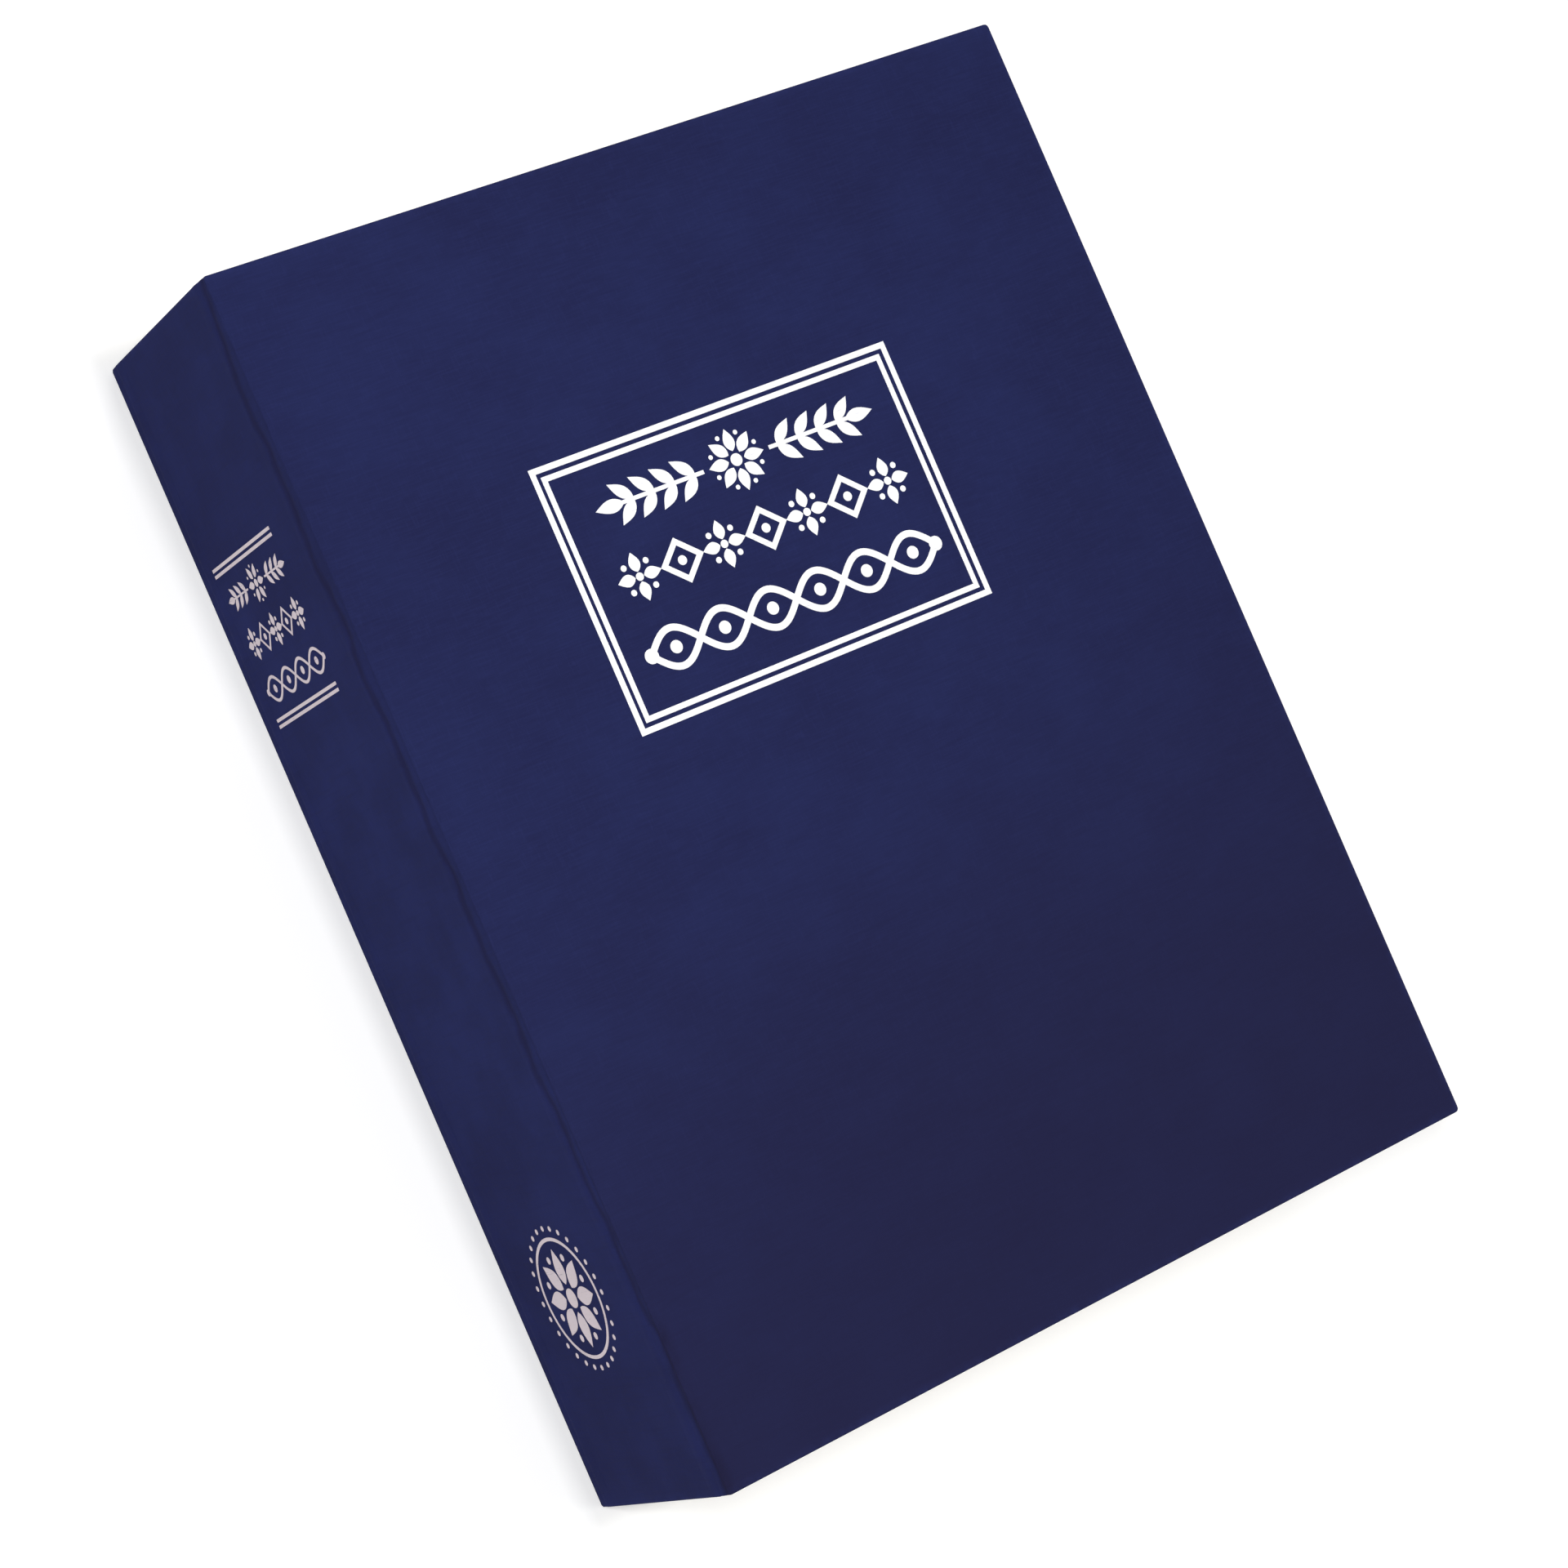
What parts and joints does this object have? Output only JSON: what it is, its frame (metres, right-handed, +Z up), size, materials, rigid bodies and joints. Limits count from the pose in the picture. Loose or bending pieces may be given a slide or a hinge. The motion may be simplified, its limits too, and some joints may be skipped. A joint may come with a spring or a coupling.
{
  "type": "book diversion safe",
  "caption": "Steel cash box with a hinged combination-lock lid, hidden in a cloth-bound book case that lies shut over moulded page edges.",
  "frame": {"origin": "middle of the back cover's outer face, on which the book lies", "axes": "+X from the spine to the fore edge, +Y from the tail to the head of the book, +Z up through its thickness to the front cover"},
  "size_m": [0.2, 0.265, 0.065],
  "materials": {
    "cover_cloth": "matt dark blue book cloth, fine weave",
    "grey_board": "grey book board",
    "lining_paper": "off-white lining paper",
    "page_plastic": "cream moulded plastic, ridged like leaves",
    "black_paint": "fine textured black powder coat",
    "zinc_plated_steel": "bright zinc plate",
    "satin_chrome": "satin chrome on cast zinc",
    "cast_zinc": "as-cast zinc alloy",
    "black_plastic": "moulded black plastic",
    "spring_steel": "spring steel"
  },
  "bodies": {
    "case": {"back_cover_cloth": "cover_cloth", "back_cover_board": "grey_board", "back_cover_lining": "lining_paper", "spine_cloth": "cover_cloth", "spine_board": "grey_board", "spine_lining": "lining_paper", "front_joint_cloth": "cover_cloth", "back_joint_cloth": "cover_cloth", "page_block": "page_plastic", "box_shell": "black_paint", "latch_strike": "zinc_plated_steel", "hinge_leaf_fixed": "black_paint", "hinge_pin": "zinc_plated_steel", "box_rivet_1": "zinc_plated_steel", "box_rivet_2": "zinc_plated_steel", "box_rivet_3": "zinc_plated_steel", "box_rivet_4": "zinc_plated_steel"},
    "front_cover": {"front_cover_cloth": "cover_cloth", "front_cover_board": "grey_board", "front_cover_lining": "lining_paper"},
    "lid": {"lid_pan": "black_paint", "hinge_leaf_moving": "black_paint", "lid_rivet_1": "zinc_plated_steel", "lid_rivet_2": "zinc_plated_steel", "lid_rivet_3": "zinc_plated_steel", "lid_rivet_4": "zinc_plated_steel", "lock_face_plate": "satin_chrome", "lock_housing": "black_plastic", "lock_back_plate": "zinc_plated_steel", "detent_spring": "spring_steel", "sleeve_return_spring": "spring_steel", "lock_screw_1": "zinc_plated_steel", "lock_screw_2": "zinc_plated_steel", "lock_screw_3": "zinc_plated_steel", "lock_screw_4": "zinc_plated_steel"},
    "dial_1": {"number_wheel_1": "black_plastic"},
    "dial_2": {"number_wheel_2": "black_plastic"},
    "dial_3": {"number_wheel_3": "black_plastic"},
    "sleeve_1": {"code_sleeve_1": "cast_zinc"},
    "sleeve_2": {"code_sleeve_2": "cast_zinc"},
    "sleeve_3": {"code_sleeve_3": "cast_zinc"},
    "latch": {"latch_slider": "cast_zinc", "lock_spindle": "zinc_plated_steel", "thumb_button": "satin_chrome"},
    "code_change": {"reset_lever": "black_plastic"}
  },
  "joints": [
    {"name": "front_cover_hinge", "type": "hinge", "parent": "case", "child": "front_cover", "pos_m": [-0.1, 0, 0.06125], "axis": [0, -1, 0], "range_deg": [0, 178], "deforming": ["front_joint_cloth"]},
    {"name": "lid_hinge", "type": "hinge", "parent": "case", "child": "lid", "pos_m": [-0.09325, 0, 0.0585], "axis": [0, -1, 0], "range_deg": [0, 110]},
    {"name": "dial_1_turn", "type": "hinge", "parent": "lid", "child": "dial_1", "pos_m": [0.0652, -0.009, 0.0529], "axis": [0, 1, 0], "continuous": true},
    {"name": "dial_2_turn", "type": "hinge", "parent": "lid", "child": "dial_2", "pos_m": [0.0652, 0, 0.0529], "axis": [0, 1, 0], "continuous": true},
    {"name": "dial_3_turn", "type": "hinge", "parent": "lid", "child": "dial_3", "pos_m": [0.0652, 0.009, 0.0529], "axis": [0, 1, 0], "continuous": true},
    {"name": "reset_slide", "type": "slide", "parent": "lid", "child": "code_change", "axis": [0, 1, 0], "range_m": [0, 0.002]},
    {"name": "sleeve_1_shift", "type": "slide", "parent": "dial_1", "child": "sleeve_1", "axis": [0, 1, 0], "range_m": [0, 0.002]},
    {"name": "sleeve_2_shift", "type": "slide", "parent": "dial_2", "child": "sleeve_2", "axis": [0, 1, 0], "range_m": [0, 0.002]},
    {"name": "sleeve_3_shift", "type": "slide", "parent": "dial_3", "child": "sleeve_3", "axis": [0, 1, 0], "range_m": [0, 0.002], "deforming": ["sleeve_return_spring"]},
    {"name": "latch_slide", "type": "slide", "parent": "lid", "child": "latch", "axis": [0, -1, 0], "range_m": [0, 0.004]}
  ],
  "couplings": [
    {"joint": "lid_hinge", "follows": "front_cover_hinge", "ratio": 0.6},
    {"joint": "sleeve_1_shift", "follows": "reset_slide", "ratio": 1},
    {"joint": "sleeve_2_shift", "follows": "reset_slide", "ratio": 1},
    {"joint": "sleeve_3_shift", "follows": "reset_slide", "ratio": 1}
  ]
}
